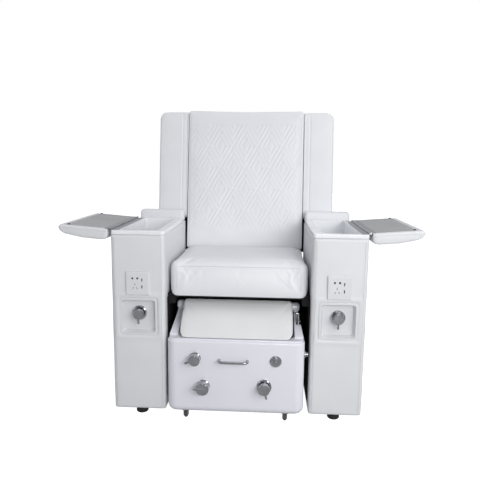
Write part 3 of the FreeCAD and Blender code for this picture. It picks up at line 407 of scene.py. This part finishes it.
def inflate(obj, pressure, cap, held):
    """No point travels further than cap; held gives 0 to 1 for each point, 1 not moving.
    """
    start = points_of(obj)
    group = obj.vertex_groups.new(name="held")
    for level in range(1, HOLD_LEVELS + 1):
        chosen = np.nonzero(np.round(held * HOLD_LEVELS) == level)[0]
        if len(chosen):
            group.add(chosen.tolist(), level / HOLD_LEVELS, "REPLACE")
    cloth = obj.modifiers.new("cloth", "CLOTH")
    cloth.settings.quality = 4
    cloth.settings.mass = 0.4
    cloth.settings.tension_stiffness = CLOTH_STIFFNESS
    cloth.settings.compression_stiffness = CLOTH_STIFFNESS
    cloth.settings.shear_stiffness = CLOTH_STIFFNESS / 3
    cloth.settings.bending_stiffness = 0.6
    cloth.settings.use_pressure = True
    cloth.settings.uniform_pressure_force = pressure
    cloth.settings.effector_weights.gravity = 0
    cloth.settings.vertex_group_mass = "held"
    cloth.point_cache.frame_start = 1
    cloth.point_cache.frame_end = CLOTH_FRAMES
    for number in range(1, CLOTH_FRAMES + 1):
        bpy.context.scene.frame_set(number)
    graph = bpy.context.evaluated_depsgraph_get()
    moved = obj.evaluated_get(graph).to_mesh()
    flat = np.empty(len(moved.vertices) * 3, np.float32)
    moved.vertices.foreach_get("co", flat)
    travel = flat.reshape(-1, 3) - start
    length = np.linalg.norm(travel, axis=1, keepdims=True)
    limited = cap * np.tanh(length / cap)
    obj.modifiers.clear()
    obj.vertex_groups.clear()
    set_points(obj, start + travel * limited / np.maximum(length, 1e-9))
    bpy.context.scene.frame_set(1)


def refine(obj):
    """Divides every face into four and smooths the surface."""
    modifier = obj.modifiers.new("subdivide", "SUBSURF")
    modifier.levels = 1
    modifier.render_levels = 1
    apply_modifiers(obj)


def relax(obj, rounds, kept=None):
    """Rounds off corners; a point whose kept value is 1 stays where it is."""
    start = points_of(obj)
    modifier = obj.modifiers.new("relax", "SMOOTH")
    modifier.factor = 0.5
    modifier.iterations = rounds
    apply_modifiers(obj)
    points = points_of(obj)
    if kept is not None:
        points += (start - points) * kept[:, None]
    set_points(obj, points)


def unevenness(points, wave):
    """Smooth value between -1 and 1 over space, for the gentle waves of stretched leather."""
    x, y, z = (points * (2 * math.pi / wave)).T
    first = np.sin(0.9 * x + 0.6 * z + 0.7) * np.cos(0.8 * y - 0.5 * z + 1.1)
    second = np.sin(1.7 * z - 0.8 * x + 2.3) * np.cos(1.9 * y + 0.6 * x + 0.4)
    return 0.6 * first + 0.4 * second


def fade(value, start, end):
    """0 before start and 1 after end, in a straight line between."""
    return np.clip((value - start) / (end - start), 0, 1)


def settle(obj, place, node, body, material):
    """Puts a padded piece back in the row frame in place of its CAD solid."""
    obj.data.transform(place)
    smooth(obj)
    obj.data.materials.clear()
    obj.data.materials.append(MATERIALS[material])
    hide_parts(node)
    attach(obj, body)


def near_edge(points, reach):
    """1 on an edge of the box round the points, falling to 0 at reach from it."""
    low, high = points.min(0), points.max(0)
    gaps = np.sort(np.minimum(points - low, high - points), axis=1)
    return np.clip(1 - np.hypot(gaps[:, 0], gaps[:, 1]) / reach, 0, 1)


# ---------------------------------------------------------------- seams and stitches

def surface_of(obj):
    bm = bmesh.new()
    bm.from_mesh(obj.data)
    tree = BVHTree.FromBMesh(bm)
    bm.free()
    return tree


SEAM_STEP = 5 * MM
SEAM_SIDES = 8
STITCH_LENGTH = 4 * MM
STITCH_RADIUS = 0.55 * MM


def on_surface(tree, start, direction, lift=0.0):
    """Where a ray meets a surface, raised by lift, and the normal there; None if it misses."""
    hit, normal, _, _ = tree.ray_cast(Vector(start), Vector(direction))
    if hit is None:
        return None
    return hit + normal * lift, normal


def seam_line(name, obj, path, direction, body, radius=0.9 * MM, material="seam"):
    """Thin welt laid along a path on a padded piece; rays along direction find the surface."""
    # The default seam finish is darker leather: painted shade along the seam groove.
    tree = surface_of(obj)
    path = [Vector(point) for point in path]
    found = []
    for first, last in zip(path, path[1:]):
        steps = max(1, int((last - first).length / SEAM_STEP))
        for index in range(steps):
            hit = on_surface(tree, first.lerp(last, index / steps), direction)
            if hit is not None:
                found.append(hit[0])
    bm = bmesh.new()
    rings = []
    for index, point in enumerate(found):
        along = (found[min(index + 1, len(found) - 1)] - found[max(index - 1, 0)]).normalized()
        across = along.cross(Vector(direction)).normalized()
        up = across.cross(along)
        turns = [2 * math.pi * k / SEAM_SIDES for k in range(SEAM_SIDES)]
        rings.append([bm.verts.new(point + (across * math.cos(turn) + up * math.sin(turn)) * radius)
                      for turn in turns])
    for before, after in zip(rings, rings[1:]):
        for k in range(SEAM_SIDES):
            ahead = (k + 1) % SEAM_SIDES
            bm.faces.new((before[k], before[ahead], after[ahead], after[k]))
    bm.faces.new(rings[0])
    bm.faces.new(list(reversed(rings[-1])))
    bmesh.ops.recalc_face_normals(bm, faces=bm.faces)
    line = new_object(name, bm)
    smooth(line)
    line.data.materials.append(MATERIALS[material])
    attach(line, body)


def stitch_row(name, tree, path, direction, body, pitch=6 * MM):
    """Row of thread stitches where the path, seen along direction, falls on a surface."""
    bm = bmesh.new()
    path = [Vector(point) for point in path]
    for first, last in zip(path, path[1:]):
        run = (last - first).length
        for index in range(max(1, int(run / pitch))):
            at = first.lerp(last, (index + 0.5) * pitch / run)
            beyond = at + (last - first).normalized() * STITCH_LENGTH * 0.4
            found = on_surface(tree, at, direction, STITCH_RADIUS * 0.3)
            ahead = on_surface(tree, beyond, direction, STITCH_RADIUS * 0.3)
            if found is None or ahead is None:
                continue
            place, normal = found
            along = (ahead[0] - place).normalized()
            across = normal.cross(along).normalized()
            turn = Matrix((across, along, normal)).transposed().to_4x4()
            turn.translation = place
            size = Matrix.Diagonal((STITCH_RADIUS, STITCH_LENGTH / 2, STITCH_RADIUS * 0.8, 1))
            bmesh.ops.create_icosphere(bm, subdivisions=1, radius=1, matrix=turn @ size)
    obj = new_object(name, bm)
    smooth(obj)
    obj.data.materials.append(MATERIALS["thread"])
    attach(obj, body)


# ---------------------------------------------------------------- soft goods

def seat_cushion():
    """Boxed seat cushion that fills the space between the arms.

    Crowned top, flat underside, sides drawn in a little towards the bottom, and a front that
    hangs a little over the deck.
    """
    overhang, rear_drop = 8 * MM, 9 * MM
    place = Matrix.Identity(4)
    obj = remeshed("seat_cushion", "seat_cushion_soft", place, 6 * MM, 0.5 * MM)
    points = points_of(obj)
    bottom = (points[:, 2] < points[:, 2].min() + 3 * MM).astype(float)
    inflate(obj, 4.0, 10 * MM, np.maximum(bottom, 0.8 * near_edge(points, 14 * MM)))
    points = points_of(obj)
    low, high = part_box("seat_cushion")
    height = (points[:, 2] - low.z) / (high.z - low.z)
    narrow = 1 - 0.022 * np.clip(1 - height * 1.15, 0, 1) ** 1.2
    points[:, 0] *= narrow * (high.x + 2 * MM) / np.abs(points[:, 0]).max()
    points[:, 2] = np.maximum(points[:, 2], low.z)
    hanging = fade(-points[:, 1], -low.y - 20 * MM, -low.y - 12 * MM) * fade(-height, -0.5, 0)
    points[:, 2] -= hanging * overhang
    back = fade(points[:, 1], low.y, high.y)
    points[:, 2] -= fade(height, 0, 1) ** 2 * back * rear_drop
    points[:, 2] += unevenness(points, 0.16) * fade(height, 0.5, 1) * 1.2 * MM
    set_points(obj, points)
    refine(obj)
    settle(obj, place, "seat_cushion", "chair", "leather_white")
    front, edge, top = low.y - 30 * MM, high.x - 34 * MM, high.z + 22 * MM
    along_top = [(-edge, front, top - 8 * MM), (-edge + 20 * MM, front, top),
                 (edge - 20 * MM, front, top), (edge, front, top - 8 * MM)]
    seam_line("cushion_front_seam", obj, along_top, (0, 1, -1), "chair")
    below = [(x, y, z - 7 * MM) for x, y, z in along_top]
    stitch_row("cushion_front_stitches", surface_of(obj), below, (0, 1, -1), "chair")
    for side, sign in SIDES:
        corner = [(sign * edge, front, low.z + 20 * MM), (sign * edge, front, high.z - 34 * MM)]
        seam_line("cushion_corner_seam_" + side, obj, corner, (0, 1, 0), "chair")


QUILT_WIDE, QUILT_HIGH = 0.110, 0.190
QUILT_RINGS = (0.0, 0.17, 0.34)
QUILT_PAIR = 0.018
QUILT_FALLING = 0.3
PAD_HALF = 258.6 * MM
WING_INNER = 258.9 * MM


def quilt_relief(x, z, quilted):
    """Height of nested double-stitched diamonds, 0 at a stitch and 1 between lines.

    Falling lines are drawn in less than rising ones; quilted fades the pattern out.
    """
    rising = x / QUILT_WIDE - z / QUILT_HIGH
    falling = x / QUILT_WIDE + z / QUILT_HIGH
    rising, falling = (np.minimum(line - np.floor(line), np.ceil(line) - line)
                       for line in (rising, falling))
    border = np.minimum(rising, falling)
    pull = np.where(rising < falling, 1.0, QUILT_FALLING)
    side = QUILT_WIDE * QUILT_HIGH / math.hypot(QUILT_WIDE, QUILT_HIGH)
    relief = np.ones_like(x)
    for ring in QUILT_RINGS:
        for pair in (-1, 1):
            away = np.abs(border - ring - pair * QUILT_PAIR) * side
            relief = np.minimum(relief, np.clip(away / (5.5 * MM), 0, 1) ** 0.6)
    return 1 - (1 - relief) * pull * quilted


def back_pad():
    """Quilted cover over the middle of the back, plain at the top and along both sides."""
    obj = remeshed("back_pad", "back_pad_soft", BACK_FRAME, 6 * MM, 1.5 * MM)
    points = points_of(obj)
    rear = (points[:, 1] > points[:, 1].max() - 6 * MM).astype(float)
    inflate(obj, 3.0, 7 * MM, np.maximum(rear, 0.85 * near_edge(points, 16 * MM)))
    refine(obj)
    points, normals = points_of(obj), normals_of(obj)
    points[:, 0] = np.clip(points[:, 0], -PAD_HALF, PAD_HALF)
    low, high = points.min(0), points.max(0)
    across, up = points[:, 0], points[:, 2]
    front = fade(-normals[:, 1], 0.6, 0.9)
    inside = (fade(across, low[0] + 12 * MM, low[0] + 18 * MM)
              * fade(-across, -high[0] + 18 * MM, -high[0] + 24 * MM)
              * fade(up, 105 * MM, 130 * MM)
              * fade(-up, -(high[2] - 62 * MM), -(high[2] - 66 * MM)))
    depth = (1 - quilt_relief(across, up, inside * front)) * 1.7 * MM
    points -= normals * depth[:, None]
    dip = (np.exp(-((across / (0.5 * (high[0] - low[0]))) ** 2) * 3)
           * fade(up, high[2] - 60 * MM, high[2]))
    points[:, 2] += (4 * fade(up, high[2] - 250 * MM, high[2]) - 3.5 * dip) * MM
    plain = 1 - inside
    points += normals * (unevenness(points, 0.13) * plain * front * 0.9 * MM)[:, None]
    set_points(obj, points)
    settle(obj, BACK_FRAME, "back_pad", "back", "leather_white")
    for side, sign in SIDES:
        edge = sign * 247 * MM
        path = [BACK_FRAME @ Vector((edge, -0.1, up)) for up in (0.035, 0.2, 0.4, 0.615)]
        seam_line("back_pad_seam_" + side, obj, path, INTO_BACK, "back", 0.7 * MM)
        path = [BACK_FRAME @ Vector((edge - sign * 5 * MM, -0.1, up))
                for up in (0.035, 0.2, 0.4, 0.61)]
        stitch_row("back_pad_stitches_" + side, surface_of(obj), path, INTO_BACK, "back")


def back_wing(side, sign):
    """Side wing, with a drawn-in seam 26 mm out from its inner edge and a welt beside the pad."""
    node = "back_wing_" + side
    obj = remeshed(node, node + "_soft", BACK_FRAME, 5 * MM, 0.5 * MM)
    points = points_of(obj)
    rear = (points[:, 1] > points[:, 1].max() - 4 * MM).astype(float)
    inflate(obj, 2.5, 5 * MM, np.maximum(rear, 0.8 * near_edge(points, 12 * MM)))
    points = points_of(obj)
    low, high = points.min(0), points.max(0)
    inner = low[0] if sign > 0 else high[0]
    seam = inner + sign * 26 * MM
    refine(obj)
    points, normals = points_of(obj), normals_of(obj)
    front = np.clip((-normals[:, 1] - 0.5) * 3, 0, 1)
    groove = np.clip(1 - np.abs(points[:, 0] - seam) / (5 * MM), 0, 1) ** 1.5
    points[:, 1] += groove * front * 2.0 * MM
    points += normals * (unevenness(points, 0.15) * front * 1.0 * MM)[:, None]
    points[:, 0] = sign * np.maximum(sign * points[:, 0], WING_INNER)
    points[:, 2] += fade(points[:, 2], high[2] - 250 * MM, high[2]) * 3 * MM
    set_points(obj, points)
    settle(obj, BACK_FRAME, node, "back", "leather_white")
    path = [BACK_FRAME @ Vector((sign * 262 * MM, -0.1, up)) for up in (0.175, 0.4, 0.625)]
    seam_line(node + "_welt", obj, path, INTO_BACK, "back", 3.2 * MM, "leather_white")
    path = [BACK_FRAME @ Vector((seam + sign * 6 * MM, -0.1, up)) for up in (0.175, 0.4, 0.62)]
    stitch_row(node + "_stitches", surface_of(obj), path, INTO_BACK, "back")


def plain_pad(node, body, place, voxel, shrink, pressure, cap, material="leather_white",
              held=None, rounds=0):
    """Cushion that needs no more than corners rounded and swelling between its edges.

    held gives the points that stay as the CAD solid has them.
    """
    obj = remeshed(node, node + "_soft", place, voxel, shrink)
    points = points_of(obj)
    pinned = 0.8 * near_edge(points, 3 * voxel)
    kept = None
    if held is not None:
        kept = held(points)
        pinned = np.maximum(pinned, kept)
    if rounds:
        relax(obj, rounds, kept)
    inflate(obj, pressure, cap, pinned)
    refine(obj)
    settle(obj, place, node, body, material)
    return obj


def lid_pad(side, sign):
    """Lid upholstery; its face under tray and hinge stays as in CAD, the rest is rounded."""
    hinge_end, tray_end = 19 * MM, 164 * MM
    tray_front, tray_rear = 15 * MM, 411 * MM
    face_depth = -4.5 * MM

    def face_held(points):
        out = points[:, 0] * sign
        behind = points[:, 1] - ARM_FRONT
        inlaid = (out < tray_end) & (behind > tray_front) & (behind < tray_rear)
        return ((points[:, 2] > face_depth) & (inlaid | (out < hinge_end))).astype(float)

    hinged = lid_frame(side, sign)
    # The lid takes leather_arm, white leather darkened as painted shade.
    obj = plain_pad("lid_pad_" + side, "lid_" + side, hinged, 4 * MM, 0.0, 1.5, 2.5 * MM,
                    "leather_arm", face_held, rounds=10)
    path = [hinged @ Vector((sign * out, ARM_FRONT - 0.03, -9 * MM))
            for out in (0.012, 0.09, 0.172)]
    seam_line("lid_front_seam_" + side, obj, path, (0, 1, 0), "lid_" + side, 0.7 * MM)


def arm_shell(side, sign):
    """Leather over boards: faint waves, seams by the front edges and a soft rise round the dish."""
    dish_reach, rise_width, rise_height = 70 * MM, 9 * MM, 2.2 * MM
    node = "arm_shell_" + side
    place = Matrix.Identity(4)
    obj = remeshed(node, node + "_soft", place, 5.5 * MM, 0.0)
    points, normals = points_of(obj), normals_of(obj)
    low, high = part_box(node)
    middle, half = (low + high) / 2, (high - low) / 2
    outside = fade(np.abs(points[:, 0] - middle.x), half.x - 4 * MM, half.x - 1 * MM)
    outside = np.maximum(outside, fade(np.abs(points[:, 1] - middle.y),
                                       half.y - 4 * MM, half.y - 1 * MM))
    inward = np.abs(points[:, 0]) < abs(middle.x)
    swell = unevenness(points + np.array((0, 0, 0.1 * sign)), 0.21) * 1.1 * MM + 0.3 * MM
    swell = np.where(inward & (swell > 0) & (np.abs(normals[:, 0]) > 0.7), 0, swell)
    dish_low, dish_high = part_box("control_dish_" + side)
    dish = (dish_low + dish_high) / 2
    away = np.maximum(np.abs(points[:, 0] - dish.x), np.abs(points[:, 2] - dish.z)) - dish_reach
    rise = (np.exp(-((away - rise_width) / rise_width) ** 2)
            * fade(-points[:, 1], -low.y - 4 * MM, -low.y))
    points += normals * (swell * outside + rise * rise_height)[:, None]
    set_points(obj, points)
    # leather_arm: white leather darkened as painted shade.
    settle(obj, place, node, "chair", "leather_arm")
    front = low.y - 40 * MM
    for edge, way in (("inner", -sign), ("outer", sign)):
        x = middle.x + way * (half.x - 12 * MM)
        path = [(x, front, low.z + 12 * MM), (x, front, middle.z), (x, front, high.z - 8 * MM)]
        seam_line("%s_%s_seam" % (node, edge), obj, path, (0, 1, 0), "chair", 0.8 * MM)
        path = [(px - way * 5 * MM, py, pz) for px, py, pz in path]
        stitch_row("%s_%s_stitches" % (node, edge), surface_of(obj), path, (0, 1, 0), "chair",
                   7 * MM)
    x = middle.x + sign * (half.x + 40 * MM)
    y = low.y + 14 * MM
    path = [(x, y, low.z + 12 * MM), (x, y, middle.z), (x, y, high.z - 8 * MM)]
    seam_line(node + "_side_seam", obj, path, (-sign, 0, 0), "chair", 0.8 * MM)


def footrest_pad():
    """Calf and foot pad with rounded corners, the lower ones most."""
    obj = remeshed("footrest_pad", "footrest_pad_soft", Matrix.Identity(4), 5 * MM, 1 * MM)
    points = points_of(obj)
    low, high = points.min(0), points.max(0)
    middle, half = (low[0] + high[0]) / 2, (high[0] - low[0]) / 2
    slope = (high[1] - low[1]) / (high[2] - low[2])
    for level, way, bend in ((low[2], 1, 28 * MM), (high[2], -1, 15 * MM)):
        tall = bend / math.hypot(1, slope)
        side = np.sign(points[:, 0] - middle)
        across = np.abs(points[:, 0] - middle) / bend - (half / bend - 1)
        toward = 1 - (points[:, 2] - level) * way / tall
        corner = (across > 0) & (toward > 0)
        length = np.where(corner, np.hypot(across, toward), 1)
        drawn = np.where(corner, 1 - np.maximum(across, toward) / length, 0)
        points[:, 0] -= side * across * drawn * bend
        points[:, 1] += way * toward * drawn * tall * slope
        points[:, 2] += way * toward * drawn * tall
    set_points(obj, points)
    relax(obj, 10)
    inflate(obj, 3.0, 6 * MM, 0.8 * near_edge(points_of(obj), 15 * MM))
    refine(obj)
    settle(obj, Matrix.Identity(4), "footrest_pad", "footrest", "leather_footrest")


# ---------------------------------------------------------------- the whole

def dress_cad_nodes():
    """Gives every CAD node the finish of its material slot."""
    slots = {part["node"]: part["material_slot"] for part in frame["record"]["subparts"]}
    for name, obj in NODES.items():
        obj.data.materials.clear()
        obj.data.materials.append(MATERIALS[slots[name]])


MATERIALS = make_materials()
make_camera()
make_floor()
make_light()
dress_cad_nodes()
seat_cushion()
back_pad()
for side, sign in SIDES:
    back_wing(side, sign)
    lid_pad(side, sign)
    arm_shell(side, sign)
    plain_pad("arm_rear_pad_" + side, "chair", Matrix.Identity(4), 4 * MM, 1 * MM, 2.0, 4 * MM,
              rounds=5)
plain_pad("back_shell", "back", BACK_FRAME, 8 * MM, 0.0, 1.0, 3 * MM)
plain_pad("back_rear_panel", "back", BACK_FRAME, 4.5 * MM, 0.0, 0.5, 1 * MM)
footrest_pad()
